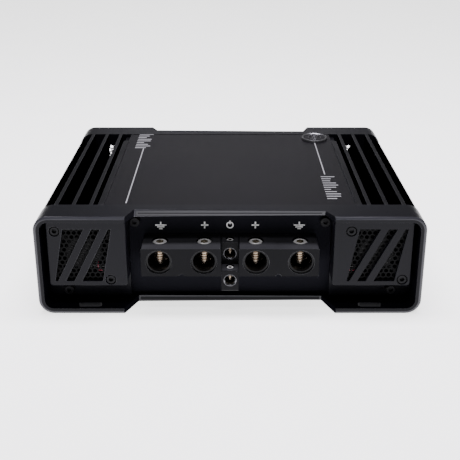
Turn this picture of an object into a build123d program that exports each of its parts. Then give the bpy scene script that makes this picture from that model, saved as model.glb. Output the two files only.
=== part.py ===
from build123d import *
import os
from math import cos, pi, sin, sqrt

# Car amplifier. Millimetres, +Z up, front towards -Y, origin at the middle of the footprint.

# overall size of the case
WIDTH = 216.0
DEPTH = 160.0
HEIGHT = 60.0
CORNER_R = 8.5
HALF_D = DEPTH / 2

# end caps
CAP_DEPTH = 17.0
LIP = 3.4
WEB = 2.0
TOP_NOTCH = 9.0
TOP_NOTCH_X = (57.5, 52.5)
FLOOR_NOTCH = 14.4
FLOOR_NOTCH_X = (60.0, 53.0)
SLOT_X = 80.0
SLOT_INSET = 4.4
SLOT_LENGTH = 14.4
SLOT_WIDTH = 4.6

# heatsink extrusion
BODY_HALF = 107.5
BODY_BASE = 1.0
WALL_IN = 71.5
WALL_OUT = 74.5
FIN_X = (78.5, 88.3, 98.1)
FIN = 2.2
OUTER_WALL = 105.0
FIN_FLOOR = 6.0
DECK_LOW = 54.0
DECK_TOP = 57.5
PLATE_HALF = 71.2
PLATE_TOP = 59.8
PLATE_GAP = 0.25
LEDGE_END = 48.0
BODY_FRONT = -HALF_D + CAP_DEPTH
BODY_BACK = -BODY_FRONT
BOSS_R = 3.0
CAP_SCREW_X = 93.2
CAP_SCREW_Z = 8.4
UPPER_SCREW_X = 61.9
UPPER_SCREW_Z = 45.0
RIB_BACK = 2.0

# bottom plate and board
BOTTOM_SCREW_X = 88.3
BOTTOM_SCREW_Y = (-52.0, 0.0, 52.0)
BOTTOM_LOW = 1.0
BOTTOM_TOP = 3.0
BOARD_LOW = 7.0
BOARD_TOP = 8.6

# face panels
PANEL_Y = -HALF_D + 18.8
PANEL_T = 2.0
PANEL_HALF = 58.5
PANEL_TOP = 53.9
PANEL_SCREW_X = 54.2
PANEL_SCREW_Z = 49.3

# fan and vent covers
COVER_X = (57.5, 101.3)
COVER_Z = (16.8, 56.6)
COVER_Y = -HALF_D + 2.0
COVER_SKIN = 2.0
COVER_FLOOR = 1.1
WINDOW_X = 81.8
WINDOW_Z = 35.7
WINDOW_W = 26.8
WINDOW_H = 32.0
WINDOW_LEAN = 5.9
BAR_X = (-4.6, 4.6)
BAR_W = 4.4
BAR_LEAN = 10.0
MESH_T = 0.5
MESH_MARGIN = 1.8
MESH_PITCH = 3.0
MESH_HOLE = 2.2
BOSS_COVER_R = 3.7

# fan leads
LEAD_X = 61.0
LEAD_R = 0.45
LEAD_Z = (25.0, 26.2, 27.4)
LEAD_HOLE = (24.0, 28.6)

# fans
FAN = 35.0
FAN_Z = 35.5
FAN_FRONT = -HALF_D + 5.8
FAN_BACK = BODY_FRONT - WEB
FAN_BORE_R = 16.5
FAN_HOLE = 14.9
HUB_R = 9.7
BLADES = 7
SHAFT_R = 1.0
BEARING_R = 1.05

# cable ports: an entry land up to the set screw, then a slightly wider bore
LAND_GAP = 0.4
UNDERCUT = 0.25

# power terminals
BLOCK_X = (4.95, 49.4)
BLOCK_Z = (23.9, 40.7)
PORT_X = (14.5, 39.6)
PORT_Z = 32.5
PORT_R = 6.15
PORT_MOUTH_R = 7.3
TERMINAL_HALF = 8.3
TERMINAL_Z = (25.0, 39.8)
TERMINAL_Y = (-HALF_D + 1.2, PANEL_Y - 1.0)
POWER_SCREW_Y = -HALF_D + 10.8
POWER_SCREW_R = 4.0

# remote terminal
REMOTE_HALF = 4.75
REMOTE_STEP_Y = -HALF_D + 8.0
REMOTE_UPPER_Z = (27.4, 40.7)
REMOTE_LOWER_Z = (14.8, 27.4)
REMOTE_PORTS = ((33.9, -HALF_D + 8.0, -HALF_D + 13.0, 40.2), (21.3, -HALF_D, -HALF_D + 5.2, 26.9))
REMOTE_R = 2.8
REMOTE_SLEEVE_R = 3.55
REMOTE_SCREW_R = 2.0

# speaker terminal on the rear panel
SPEAKER_X = (-52.0, -16.0)
SPEAKER_Z = (12.0, 30.0)
SPEAKER_PORT_X = (-43.0, -25.0)
SPEAKER_PORT_Z = 21.0
SPEAKER_R = 3.6
SPEAKER_SLEEVE_R = 4.7
SPEAKER_SCREW_Y = HALF_D - 9.0
SPEAKER_SCREW_R = 2.5

# rear controls
KNOB_X = (22.0, 36.0, 50.0)
KNOB_Z = 34.0
KNOB_R = 4.6
KNOB_NAMES = ("gain_knob", "lowpass_knob", "boost_knob")
JACK_X = (-6.0, 8.0)
JACK_Z = 40.0
SWITCH_X = 24.0
SWITCH_Z = 17.0
SWITCH_TRAVEL = 3.0
LENS_X = 46.0
LENS_Z = 17.0

# inside the case; rings are (x, y, base z, outer radius, inner radius, height)
BOARD_HALF_X = 66.0
BOARD_HALF_Y = 57.0
STANDOFFS = tuple((x, y) for x in (-60.0, -16.0, 60.0) for y in (-48.0, 48.0))
CLAMP_Z = 28.0
CLAMP_SCREW_Y = (-34.0, 0.0, 34.0)
TRANSISTOR_Y = (-44.0, -24.0, -10.0, 10.0, 24.0, 44.0)
PAD = 0.3
TRANSFORMER = (-22.0, -8.0, BOARD_TOP + 2.2, 19.0, 10.5, 16.0)
CHOKE = (30.0, 26.0, BOARD_TOP + 2.0, 14.5, 8.0, 12.0)

# running clearance of a moving screw or shaft, and of a fixed screw in its hole
RUN = 0.06
HOLE_GAP = 0.05

# badge
BADGE_X = 59.7
BADGE_Y = 53.5
BADGE_R = 9.0
BADGE_TOP = 61.4


def block(x, y, z):
    """A box from three (low, high) pairs."""
    solid = Box(x[1] - x[0], y[1] - y[0], z[1] - z[0])
    return Pos((x[0] + x[1]) / 2, (y[0] + y[1]) / 2, (z[0] + z[1]) / 2) * solid


def prism_y(sketch, y0, y1):
    """A front-view sketch (X, Z) drawn out from y0 to y1."""
    return extrude(Plane.XZ.offset(-y1) * sketch, y1 - y0)


def prism_z(sketch, z0, z1):
    """A plan sketch (X, Y) drawn up from z0 to z1."""
    return extrude(Plane.XY.offset(z0) * sketch, z1 - z0)


def rod_y(x, z, r, y0, y1):
    return prism_y(Pos(x, z) * Circle(r), y0, y1)


def rod_z(x, y, r, z0, z1):
    return prism_z(Pos(x, y) * Circle(r), z0, z1)


def rod_x(y, z, r, x0, x1):
    return Pos((x0 + x1) / 2, y, z) * Rot(0, 90, 0) * Cylinder(r, x1 - x0)


def save(name, solids):
    """Writes one node; several solids stay separate in it."""
    shape = solids
    if isinstance(solids, (list, tuple)):
        shape = Compound(children=list(solids)) if len(solids) > 1 else solids[0]
    export_step(shape, f"parts/{name}.step")


def to_rear(shape):
    """The same piece at the other end of the case."""
    return mirror(shape, about=Plane.XZ)


def socket_screw(head_r, head_h, shank_r, length, across_flats):
    """A cap screw along +Y: head's outer face at y 0, shank ending at head_h + length."""
    head = chamfer(prism_y(Circle(head_r), 0, head_h).edges().group_by(Axis.Y)[0], 0.35)
    socket = prism_y(RegularPolygon(across_flats / sqrt(3), 6), 0, head_h * 0.55)
    shank = prism_y(Circle(shank_r), head_h, head_h + length)
    return head - socket + shank


def set_screw(r, z0, z1, point_r, pitch, across_flats):
    """A grub screw standing on Z with ring grooves, a dog point and a hex socket."""
    root = r - 0.5 * pitch * 0.75
    point = [(0, z0), (point_r, z0), (point_r, z0 + 1.0), (root, z0 + 1.4)]
    turns = int((z1 - z0 - 2.2) / pitch)
    for k in range(turns):
        low = z0 + 1.4 + k * pitch
        point += [(r, low + 0.35 * pitch), (r, low + 0.6 * pitch), (root, low + 0.95 * pitch)]
    point += [(root, z1), (0, z1)]
    profile = make_face(Plane.XZ * Polyline(*point, close=True))
    body = revolve(profile, Axis.Z)
    return body - prism_z(RegularPolygon(across_flats / sqrt(3), 6), z1 - 2.6, z1)


def lean(z):
    """How far the slanted windows have moved over at height z."""
    return WINDOW_LEAN * (z - WINDOW_Z) / WINDOW_H


def slanted(centre_x, grow):
    """The slanted window outline, grown on all sides, in the front view."""
    half = WINDOW_W / 2 + grow
    low = WINDOW_Z - WINDOW_H / 2 - grow
    high = WINDOW_Z + WINDOW_H / 2 + grow
    corners = [
        (centre_x - half + lean(low), low),
        (centre_x + half + lean(low), low),
        (centre_x + half + lean(high), high),
        (centre_x - half + lean(high), high),
    ]
    return make_face(Polyline(*corners, close=True))


def window_bars(centre_x):
    """Two parallel slanted bars across a window."""
    low = WINDOW_Z - WINDOW_H / 2
    high = WINDOW_Z + WINDOW_H / 2
    bars = []
    for offset in BAR_X:
        foot = centre_x + offset + lean(low) - BAR_LEAN / 2
        head = centre_x + offset + lean(high) + BAR_LEAN / 2
        half = BAR_W / 2
        bar = Polyline((foot - half, low), (foot + half, low), (head + half, high), (head - half, high), close=True)
        bars.append(make_face(bar))
    return bars


def cover_screw_places(side):
    """Upper left and lower right corners of a cover, seen from the front."""
    centre = side * WINDOW_X
    return ((centre - FAN_HOLE, FAN_Z + FAN_HOLE), (centre + FAN_HOLE, FAN_Z - FAN_HOLE))


# ---- case shells ----


def notch(depth, half_widths):
    """Plan outline that sets the middle of a lip back from the ends."""
    outer, inner = half_widths
    front = -HALF_D - 1.0
    corners = [(-outer, front), (-outer, -HALF_D), (-inner, -HALF_D + depth)]
    corners += [(inner, -HALF_D + depth), (outer, -HALF_D), (outer, front)]
    return make_face(Polyline(*corners, close=True))


def end_cap():
    """Shroud with lips above and below, side walls and a web at its back, front end."""
    middle = HEIGHT / 2
    outer = prism_y(Pos(0, middle) * RectangleRounded(WIDTH, HEIGHT, CORNER_R), -HALF_D, BODY_FRONT)
    outer = chamfer(outer.edges().group_by(Axis.Y)[0], 0.7)
    inside = Pos(0, middle) * RectangleRounded(WIDTH - 2 * LIP, HEIGHT - 2 * LIP, CORNER_R - LIP)
    cap = outer - prism_y(inside, -HALF_D, BODY_FRONT - WEB)
    cap -= block((-COVER_X[0], COVER_X[0]), (-HALF_D, BODY_FRONT), (LIP, HEIGHT - LIP))
    cap -= prism_z(notch(TOP_NOTCH, TOP_NOTCH_X), middle, HEIGHT)
    cap -= prism_z(notch(FLOOR_NOTCH, FLOOR_NOTCH_X), 0, middle)
    for side in (-1, 1):
        cap -= rod_y(side * WINDOW_X, FAN_Z, FAN_BORE_R + 0.1, BODY_FRONT - WEB, BODY_FRONT)
        cap -= block(
            sorted((side * COVER_X[0], side * 63.0)), (BODY_FRONT - WEB, BODY_FRONT), LEAD_HOLE
        )
        slot = Pos(side * SLOT_X, -HALF_D + SLOT_INSET) * SlotOverall(SLOT_LENGTH, SLOT_WIDTH)
        cap -= prism_z(slot, 0, LIP)
        cap -= rod_y(side * CAP_SCREW_X, CAP_SCREW_Z, 1.7, BODY_FRONT - WEB, BODY_FRONT)
        cap -= rod_y(side * UPPER_SCREW_X, UPPER_SCREW_Z, 1.4, BODY_FRONT - WEB, BODY_FRONT)
        for x, z in cover_screw_places(side):
            cap -= rod_y(x, z, 1.5 + HOLE_GAP, BODY_FRONT - WEB, BODY_FRONT)
    return cap


def heatsink_body():
    """One extrusion: top deck, two channel walls, three fins and an outer wall on each side."""
    height = HEIGHT - BODY_BASE
    outline = Pos(0, BODY_BASE + height / 2) * RectangleRounded(2 * BODY_HALF, height, CORNER_R)
    body = prism_y(outline, BODY_FRONT, BODY_BACK)
    span = (BODY_FRONT, BODY_BACK)
    body -= block((-WALL_IN, WALL_IN), span, (0, DECK_LOW))
    body -= block((-PLATE_HALF, PLATE_HALF), span, (DECK_TOP, HEIGHT))
    body -= block((-OUTER_WALL, OUTER_WALL), span, (0, BOTTOM_TOP))
    edges = [WALL_OUT]
    for x in FIN_X:
        edges += [x - FIN / 2, x + FIN / 2]
    edges.append(OUTER_WALL)
    for side in (-1, 1):
        for low, high in zip(edges[0::2], edges[1::2]):
            body -= block(sorted((side * low, side * high)), span, (FIN_FLOOR, HEIGHT))
        body -= block(
            sorted((side * (PLATE_HALF - 0.1), side * WALL_OUT)), (LEDGE_END, BODY_BACK), (DECK_TOP, HEIGHT)
        )
        inner_fin = FIN_X[0] + FIN / 2
        body += block(
            sorted((side * inner_fin, side * (inner_fin + 2.4))), (BODY_FRONT, RIB_BACK), (50.0, 53.5)
        )
        x = side * CAP_SCREW_X
        body += rod_y(x, CAP_SCREW_Z, BOSS_R, BODY_FRONT, BODY_BACK)
        body += block((x - BOSS_R, x + BOSS_R), span, (FIN_FLOOR - 1.0, CAP_SCREW_Z))
        body = panel_bosses(body, side)
        body = upper_bosses(body, side)
        body = drill_body(body, side)
    return body


def panel_bosses(body, side):
    """Screw bosses hanging from the deck behind each face panel."""
    x = side * PANEL_SCREW_X
    for end in (-1, 1):
        face = end * (-PANEL_Y - PANEL_T)
        span = sorted((face, face - end * 12.0))
        body += rod_y(x, PANEL_SCREW_Z, 3.2, *span)
        body += block((x - 3.2, x + 3.2), span, (PANEL_SCREW_Z, DECK_LOW + 1))
        body -= rod_y(x, PANEL_SCREW_Z, 1.5 + HOLE_GAP, *sorted((face, face - end * 8.5)))
    return body


def upper_bosses(body, side):
    """Short screw bosses on the channel walls for the upper end cap screws."""
    x = side * UPPER_SCREW_X
    for end in (-1, 1):
        span = sorted((end * BODY_BACK, end * (BODY_BACK - 11.0)))
        body += rod_y(x, UPPER_SCREW_Z, BOSS_R, *span)
        foot = sorted((x, side * (WALL_IN + 1.0)))
        body += block(foot, span, (UPPER_SCREW_Z - BOSS_R, UPPER_SCREW_Z + BOSS_R))
        body -= rod_y(x, UPPER_SCREW_Z, 1.25 + HOLE_GAP, *span)
    return body


def drill_body(body, side):
    """Screw holes for the end caps, the bottom plate and the transistor clamps."""
    for end in (-1, 1):
        span = sorted((end * BODY_BACK, end * (BODY_BACK - 9.0)))
        body -= rod_y(side * CAP_SCREW_X, CAP_SCREW_Z, 1.5 + HOLE_GAP, *span)
    for y in BOTTOM_SCREW_Y:
        body -= rod_z(side * BOTTOM_SCREW_X, y, 1.25 + HOLE_GAP, 0, FIN_FLOOR + 2.0)
    for y in CLAMP_SCREW_Y:
        hole = sorted((side * WALL_IN, side * (WALL_OUT - 0.5)))
        body -= rod_x(y, CLAMP_Z, 1.5 + HOLE_GAP, *hole)
    return body


def top_plate():
    """Flat cover plate that slides between the ledges and is held by the caps."""
    half = PLATE_HALF - PLATE_GAP
    return block((-half, half), (BODY_FRONT, BODY_BACK), (DECK_TOP, PLATE_TOP))


def bottom_plate():
    """Steel sheet under the extrusion, screwed to the fin floor."""
    half = OUTER_WALL - 0.3
    plate = block((-half, half), (BODY_FRONT + 0.2, BODY_BACK - 0.2), (BOTTOM_LOW, BOTTOM_TOP))
    for side in (-1, 1):
        for y in BOTTOM_SCREW_Y:
            plate -= rod_z(side * BOTTOM_SCREW_X, y, 1.4, BOTTOM_LOW, BOTTOM_TOP)
            cone = Pos(side * BOTTOM_SCREW_X, y, BOTTOM_LOW + 0.8) * Cone(2.6, 1.4, 1.6)
            plate -= cone
    for x, y in STANDOFFS:
        plate -= rod_z(x, y, 1.5 + HOLE_GAP, BOTTOM_LOW, BOTTOM_TOP)
    return plate


def bottom_screws():
    """Countersunk screws, heads flush with the sheet."""
    screws = []
    for side in (-1, 1):
        for y in BOTTOM_SCREW_Y:
            head = Pos(0, 0, BOTTOM_LOW + 0.8) * Cone(2.55, 1.2, 1.6)
            shank = rod_z(0, 0, 1.2, BOTTOM_LOW + 1.0, FIN_FLOOR + 1.2)
            drive = prism_z(RegularPolygon(0.9, 6), BOTTOM_LOW, BOTTOM_LOW + 0.9)
            screws.append(Pos(side * BOTTOM_SCREW_X, y) * (head + shank - drive))
    return screws


def face_panel():
    """Flat panel that closes the front of the channel behind the terminals."""
    panel = block((-PANEL_HALF, PANEL_HALF), (PANEL_Y, PANEL_Y + PANEL_T), (BOTTOM_TOP + 0.1, PANEL_TOP))
    for side in (-1, 1):
        panel -= rod_y(side * PANEL_SCREW_X, PANEL_SCREW_Z, 1.7, PANEL_Y, PANEL_Y + PANEL_T)
    return panel


def front_panel():
    """Front face panel with holes for the terminal tails."""
    panel = face_panel()
    for side in (-1, 1):
        for x in PORT_X:
            panel -= rod_y(side * x, PORT_Z, 3.0 + HOLE_GAP, PANEL_Y, PANEL_Y + PANEL_T)
    for z, _, _, _ in REMOTE_PORTS:
        panel -= rod_y(0, z, 1.5 + HOLE_GAP, PANEL_Y, PANEL_Y + PANEL_T)
    return panel


def rear_panel():
    """Rear face panel with holes for jacks, controls, indicator and speaker tails."""
    back = -PANEL_Y
    span = (back - PANEL_T, back)
    panel = to_rear(face_panel())
    for x in JACK_X:
        panel -= rod_y(x, JACK_Z, 4.2, *span)
    for x in KNOB_X:
        panel -= rod_y(x, KNOB_Z, 3.6, *span)
    for x in SPEAKER_PORT_X:
        panel -= rod_y(x, SPEAKER_PORT_Z, 1.5 + HOLE_GAP, *span)
    slider = (SWITCH_X - 4.0, SWITCH_X + 4.0)
    panel -= block(slider, span, (SWITCH_Z - 1.6, SWITCH_Z + 1.6))
    panel -= rod_y(LENS_X, LENS_Z, 1.6, *span)
    return panel


def badge():
    """Round raised badge on the top plate with a rim and plain rings."""
    disc = rod_z(BADGE_X, BADGE_Y, BADGE_R, PLATE_TOP, BADGE_TOP)
    disc = chamfer(disc.edges().group_by(Axis.Z)[-1], 0.4)
    dish = rod_z(BADGE_X, BADGE_Y, BADGE_R - 1.2, BADGE_TOP - 0.6, BADGE_TOP)
    ring = rod_z(BADGE_X, BADGE_Y, 5.0, BADGE_TOP - 0.6, BADGE_TOP - 0.2)
    ring -= rod_z(BADGE_X, BADGE_Y, 4.0, BADGE_TOP - 0.6, BADGE_TOP - 0.2)
    centre = rod_z(BADGE_X, BADGE_Y, 1.8, BADGE_TOP - 0.6, BADGE_TOP - 0.2)
    return disc - dish + ring + centre


# ---- covers, meshes and fans ----


def cover(side):
    """Box-shaped cover with a slanted window, open at its back."""
    x = sorted((side * COVER_X[0], side * COVER_X[1]))
    shell = block(x, (COVER_Y, FAN_BACK), COVER_Z)
    shell = fillet(shell.edges().filter_by(Axis.Y), 2.0)
    shell = fillet(shell.edges().group_by(Axis.Y)[0], 0.8)
    inner = (x[0] + COVER_SKIN, x[1] - COVER_SKIN)
    hollow = (COVER_Z[0] + COVER_FLOOR, COVER_Z[1] - COVER_SKIN)
    shell -= block(inner, (COVER_Y + COVER_SKIN, FAN_BACK), hollow)
    window = slanted(side * WINDOW_X, 0) - window_bars(side * WINDOW_X)
    shell -= prism_y(window, COVER_Y, COVER_Y + COVER_SKIN)
    for px, pz in cover_screw_places(side):
        shell += rod_y(px, pz, BOSS_COVER_R, COVER_Y + 1.0, FAN_FRONT)
        shell -= rod_y(px, pz, 3.1, COVER_Y, COVER_Y + 3.2)
        shell -= rod_y(px, pz, 1.7, COVER_Y, FAN_FRONT)
    return shell


def mesh(side):
    """Perforated plate behind a window, six-sided holes in staggered rows."""
    centre = side * WINDOW_X
    plate = slanted(centre, MESH_MARGIN)
    row_pitch = MESH_PITCH * sqrt(3) / 2
    rows = int(WINDOW_H / row_pitch / 2) + 1
    columns = int(WINDOW_W / MESH_PITCH / 2) + 2
    holes = []
    for row in range(-rows, rows + 1):
        z = WINDOW_Z + row * row_pitch
        shift = (row % 2) * MESH_PITCH / 2
        for column in range(-columns, columns + 1):
            x = centre + column * MESH_PITCH + shift
            if abs(x - centre - lean(z)) > WINDOW_W / 2 + 0.3 or abs(z - WINDOW_Z) > WINDOW_H / 2 + 0.3:
                continue
            holes.append(Pos(x, z) * RegularPolygon(MESH_HOLE / sqrt(3), 6, rotation=30))
    front = COVER_Y + COVER_SKIN
    solid = prism_y(plate - holes, front, front + MESH_T)
    x = sorted((side * (COVER_X[0] + COVER_SKIN + 0.1), side * (COVER_X[1] - COVER_SKIN - 0.1)))
    z = (COVER_Z[0] + COVER_FLOOR + 0.1, COVER_Z[1] - COVER_SKIN - 0.1)
    solid = solid & block(x, (front, front + MESH_T), z)
    for px, pz in cover_screw_places(side):
        solid -= rod_y(px, pz, BOSS_COVER_R + 0.2, front, front + MESH_T)
    return solid


def fan_frame(side):
    """Square fan frame with four arms, motor plate, bearing tube and coil former."""
    centre = side * WINDOW_X
    frame = prism_y(Pos(centre, FAN_Z) * RectangleRounded(FAN, FAN, 3.0), FAN_FRONT, FAN_BACK)
    frame -= rod_y(centre, FAN_Z, FAN_BORE_R, FAN_FRONT, FAN_BACK)
    plate_back = FAN_FRONT + 1.4
    for angle in (45, 135, 225, 315):
        arm = Pos(FAN_BORE_R - 3.5, 0) * Rectangle(9.0, 2.2)
        frame += prism_y(Pos(centre, FAN_Z) * Rot(0, 0, angle) * arm, FAN_FRONT, plate_back)
    frame += rod_y(centre, FAN_Z, 10.4, FAN_FRONT, plate_back)
    frame += rod_y(centre, FAN_Z, 2.4, plate_back, FAN_BACK - 3.0)
    frame += rod_y(centre, FAN_Z, 7.4, plate_back, FAN_BACK - 3.6)
    frame -= rod_y(centre, FAN_Z, BEARING_R, FAN_FRONT + 0.8, FAN_BACK)
    for px in (-FAN_HOLE, FAN_HOLE):
        for pz in (-FAN_HOLE, FAN_HOLE):
            frame -= rod_y(centre + px, FAN_Z + pz, 1.7, FAN_FRONT, FAN_BACK)
    return frame


def fan_rotor(side):
    """Rotor cup with shaft and seven pitched blades, turning in the frame's bearing."""
    centre = side * WINDOW_X
    front = FAN_FRONT + 1.8
    back = FAN_BACK - 0.5
    cup = rod_y(0, 0, HUB_R, front, back) - rod_y(0, 0, HUB_R - 1.2, front, back - 1.2)
    swept = rod_y(0, 0, FAN_BORE_R - 0.5, front, back) - rod_y(0, 0, HUB_R - 0.3, front, back)
    middle = (front + back) / 2
    for k in range(BLADES):
        blade = Pos((HUB_R + FAN_BORE_R) / 2, middle, 0) * Rot(40, 0, 0) * Box(9.0, 0.9, 8.0)
        cup += (Rot(0, k * 360 / BLADES, 0) * blade) & swept
    cup += rod_y(0, 0, SHAFT_R, FAN_FRONT + 1.0, back)
    return Pos(centre, 0, FAN_Z) * cup


def fan_leads():
    """Three wires a side: from the motor plate down, inwards, back through the web, to the board."""
    wires = []
    front = FAN_FRONT - LEAD_R - 0.05
    for side in (-1, 1):
        centre = side * WINDOW_X
        for k, z in enumerate(LEAD_Z):
            drop_x = centre - side * (7.6 - 1.2 * k)
            inner_x = side * LEAD_X
            back = PANEL_Y + PANEL_T + 3.5 + k * 1.2
            path = FilletPolyline(
                (drop_x, front, FAN_Z - 4.5),
                (drop_x, front, z),
                (inner_x, front, z),
                (inner_x, back, z),
                (inner_x, back, BOARD_TOP),
                radius=0.9,
            )
            section = Plane(path @ 0, z_dir=path % 0) * Circle(LEAD_R)
            wires.append(sweep(section, path=path))
    return wires


# ---- screws ----


def cover_screws():
    """Long cap screws through a cover and a fan into the web, same at the rear vents."""
    screws = []
    seat = COVER_Y + 3.2
    for side in (-1, 1):
        for x, z in cover_screw_places(side):
            screw = socket_screw(2.75, 2.9, 1.5, BODY_FRONT - 0.2 - seat, 2.5)
            screw = Pos(x, seat - 2.9, z) * screw
            screws += [screw, to_rear(screw)]
    return screws


def end_cap_screws():
    """Cap screws through each web into the fin floor bosses and the upper bosses."""
    screws = []
    seat = BODY_FRONT - WEB
    for side in (-1, 1):
        lower = Pos(side * CAP_SCREW_X, seat - 2.9, CAP_SCREW_Z) * socket_screw(2.75, 2.9, 1.5, 10.0, 2.5)
        upper = Pos(side * UPPER_SCREW_X, seat - 2.4, UPPER_SCREW_Z) * socket_screw(2.2, 2.4, 1.25, 10.0, 2.0)
        screws += [lower, upper, to_rear(lower), to_rear(upper)]
    return screws


def panel_screws():
    """Cap screws at the top corners of both face panels."""
    screws = []
    for side in (-1, 1):
        screw = Pos(side * PANEL_SCREW_X, PANEL_Y - 2.6, PANEL_SCREW_Z) * socket_screw(3.0, 2.6, 1.5, 9.5, 2.5)
        screws += [screw, to_rear(screw)]
    return screws


# ---- terminals ----


def power_block(side):
    """Black moulded housing over two power terminals."""
    x = sorted((side * BLOCK_X[0], side * BLOCK_X[1]))
    housing = block(x, (-HALF_D, PANEL_Y), BLOCK_Z)
    housing = chamfer(housing.edges().filter_by(Axis.Y), 0.4)
    housing -= rod_y(side * 27.0, BLOCK_Z[0] - 0.2, 1.6, -HALF_D, PANEL_Y)
    for port in PORT_X:
        px = side * port
        housing -= rod_y(px, PORT_Z, PORT_MOUTH_R, -HALF_D, TERMINAL_Y[0])
        pocket = (px - TERMINAL_HALF - 0.1, px + TERMINAL_HALF + 0.1)
        housing -= block(pocket, (TERMINAL_Y[0], PANEL_Y), (TERMINAL_Z[0] - 0.1, TERMINAL_Z[1] + 0.1))
        housing -= rod_z(px, POWER_SCREW_Y, 4.5, TERMINAL_Z[1], BLOCK_Z[1])
    return housing


def power_terminals():
    """Four plated blocks, each bored for a heavy cable and tapped from above."""
    terminals = []
    for side in (-1, 1):
        for port in PORT_X:
            px = side * port
            body = block((px - TERMINAL_HALF, px + TERMINAL_HALF), TERMINAL_Y, TERMINAL_Z)
            land = POWER_SCREW_Y - POWER_SCREW_R - LAND_GAP
            body -= rod_y(px, PORT_Z, PORT_R, TERMINAL_Y[0], land)
            body -= rod_y(px, PORT_Z, PORT_R + UNDERCUT, land, PANEL_Y - 3.0)
            body -= rod_z(px, POWER_SCREW_Y, POWER_SCREW_R + RUN, PORT_Z, TERMINAL_Z[1])
            body += rod_y(px, PORT_Z, 3.0, TERMINAL_Y[1], PANEL_Y + 5.0)
            terminals.append(body)
    return terminals


def power_screw(x):
    return Pos(x, POWER_SCREW_Y) * set_screw(POWER_SCREW_R, 27.3, 40.2, 2.6, 1.25, 4.0)


def remote_block():
    """Stepped housing with two small ports, one above the other."""
    half = (-REMOTE_HALF, REMOTE_HALF)
    housing = block(half, (REMOTE_STEP_Y, PANEL_Y), REMOTE_UPPER_Z)
    housing += block(half, (-HALF_D, PANEL_Y), REMOTE_LOWER_Z)
    housing = chamfer(housing.edges().filter_by(Axis.X).group_by(Axis.Y)[0], 0.3)
    for z, face, screw_y, top in REMOTE_PORTS:
        housing -= rod_y(0, z, REMOTE_SLEEVE_R + 0.02, face, PANEL_Y)
        housing -= rod_z(0, screw_y, 2.4, z, top + 0.6)
    return housing


def remote_sleeves():
    """Two plated sleeves with a flared mouth, tapped from above."""
    sleeves = []
    for z, face, screw_y, _ in REMOTE_PORTS:
        sleeve = rod_y(0, z, REMOTE_SLEEVE_R, face, PANEL_Y - 0.5)
        land = screw_y - REMOTE_SCREW_R - LAND_GAP
        sleeve -= rod_y(0, z, REMOTE_R, face, land)
        sleeve -= rod_y(0, z, REMOTE_R + UNDERCUT, land, PANEL_Y - 2.0)
        flare = Pos(0, face + 0.3, z) * Rot(90, 0, 0) * Cone(REMOTE_R, REMOTE_SLEEVE_R - 0.15, 0.6)
        sleeve -= flare
        sleeve -= rod_z(0, screw_y, REMOTE_SCREW_R + RUN, z, z + 5.0)
        sleeve += rod_y(0, z, 1.5, PANEL_Y - 0.5, PANEL_Y + 5.0)
        sleeves.append(sleeve)
    return sleeves


def remote_screw(index):
    z, _, screw_y, top = REMOTE_PORTS[index]
    return Pos(0, screw_y) * set_screw(REMOTE_SCREW_R, z - REMOTE_R + 0.9, top, 1.2, 0.7, 2.0)


def speaker_block():
    """Rear housing over the two speaker terminals."""
    back = -PANEL_Y
    housing = block(SPEAKER_X, (back, HALF_D - 1.0), SPEAKER_Z)
    housing = chamfer(housing.edges().filter_by(Axis.Y), 0.4)
    for x in SPEAKER_PORT_X:
        housing -= rod_y(x, SPEAKER_PORT_Z, SPEAKER_SLEEVE_R + 0.02, back, HALF_D - 1.0)
        housing -= rod_z(x, SPEAKER_SCREW_Y, 2.9, SPEAKER_PORT_Z, SPEAKER_Z[1])
    return housing


def speaker_sleeves():
    """Two plated sleeves for the speaker wires."""
    back = -PANEL_Y
    mouth = HALF_D - 1.0
    sleeves = []
    for x in SPEAKER_PORT_X:
        sleeve = rod_y(x, SPEAKER_PORT_Z, SPEAKER_SLEEVE_R, back + 0.5, mouth)
        land = SPEAKER_SCREW_Y + SPEAKER_SCREW_R + LAND_GAP
        sleeve -= rod_y(x, SPEAKER_PORT_Z, SPEAKER_R, land, mouth)
        sleeve -= rod_y(x, SPEAKER_PORT_Z, SPEAKER_R + UNDERCUT, back + 2.0, land)
        sleeve -= rod_z(x, SPEAKER_SCREW_Y, SPEAKER_SCREW_R + RUN, SPEAKER_PORT_Z, SPEAKER_Z[1])
        sleeve += rod_y(x, SPEAKER_PORT_Z, 1.5, back - 5.0, back + 0.5)
        sleeves.append(sleeve)
    return sleeves


def speaker_screw(x):
    low = SPEAKER_PORT_Z - SPEAKER_R + 0.9
    return Pos(x, SPEAKER_SCREW_Y) * set_screw(SPEAKER_SCREW_R, low, SPEAKER_Z[1] - 0.6, 1.5, 0.8, 2.5)


def bus_bars():
    """Copper bars from the four power tails down to the board."""
    bars = []
    low = PANEL_Y + PANEL_T + 0.4
    for side in (-1, 1):
        for port in PORT_X:
            x = side * port
            bar = block((x - 5.0, x + 5.0), (low, low + 2.0), (BOARD_TOP, PORT_Z + 5.0))
            bars.append(bar - rod_y(x, PORT_Z, 3.0 + HOLE_GAP, low, low + 2.0))
    return bars


# ---- rear controls ----


def knob(x):
    """Small ribbed control knob with a pointer groove, on its own shaft."""
    back = -PANEL_Y
    body = rod_y(0, 0, KNOB_R, back + 0.6, back + 7.0)
    body = chamfer(body.edges().group_by(Axis.Y)[-1], 0.5)
    for k in range(16):
        angle = k * 2 * pi / 16
        body -= rod_y((KNOB_R + 0.25) * cos(angle), (KNOB_R + 0.25) * sin(angle), 0.55, back + 0.6, back + 7.0)
    body -= block((-0.4, 0.4), (back + 6.4, back + 7.0), (0.5, KNOB_R))
    body += rod_y(0, 0, 1.5, back - 4.0, back + 0.6)
    return Pos(x, 0, KNOB_Z) * body


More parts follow.
